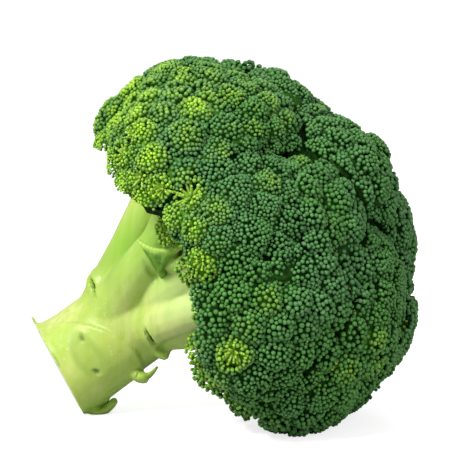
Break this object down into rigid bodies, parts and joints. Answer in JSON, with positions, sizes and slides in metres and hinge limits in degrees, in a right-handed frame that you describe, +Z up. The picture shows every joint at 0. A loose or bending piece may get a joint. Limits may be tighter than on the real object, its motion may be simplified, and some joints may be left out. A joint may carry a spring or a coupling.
{
  "type": "broccoli head",
  "caption": "Broccoli head lying on its side: a cut stalk that forks into branches, each one ending in a domed floret of tight green flower buds.",
  "frame": {"origin": "middle of the footprint, on the surface that the head lies on", "axes": "+Z up from the surface; the crown points towards +X, -Y and up, and the cut end of the stalk towards -X; -Y faces the viewer of the main view"},
  "size_m": [0.1494, 0.1556, 0.1375],
  "materials": {
    "stem_flesh": "smooth, slightly waxy, faintly ribbed along its length",
    "bud_clusters": "dense beaded flower buds with a dull blue-green wax bloom",
    "leaf_blade": "smooth satin leaf"
  },
  "bodies": {
    "root": {"main_stalk": "stem_flesh", "outer_branch_1": "stem_flesh", "outer_branch_2": "stem_flesh", "outer_branch_3": "stem_flesh", "outer_branch_4": "stem_flesh", "outer_branch_5": "stem_flesh", "outer_branch_6": "stem_flesh", "outer_branch_7": "stem_flesh", "outer_branch_8": "stem_flesh", "outer_branch_9": "stem_flesh", "inner_branch_1": "stem_flesh", "inner_branch_2": "stem_flesh", "inner_branch_3": "stem_flesh", "inner_branch_4": "stem_flesh", "inner_branch_5": "stem_flesh", "leaf_stub_1": "stem_flesh", "leaf_stub_2": "stem_flesh", "leaf_stub_3": "stem_flesh", "leaf_stub_4": "stem_flesh", "leaf_stub_5": "stem_flesh", "leaf_stub_6": "stem_flesh", "outer_floret_1": "bud_clusters", "outer_floret_2": "bud_clusters", "outer_floret_3": "bud_clusters", "outer_floret_4": "bud_clusters", "outer_floret_5": "bud_clusters", "outer_floret_6": "bud_clusters", "outer_floret_7": "bud_clusters", "outer_floret_8": "bud_clusters", "outer_floret_9": "bud_clusters", "inner_floret_1": "bud_clusters", "inner_floret_2": "bud_clusters", "inner_floret_3": "bud_clusters", "inner_floret_4": "bud_clusters", "inner_floret_5": "bud_clusters", "top_floret": "bud_clusters", "bract_leaf": "leaf_blade"}
  },
  "joints": []
}
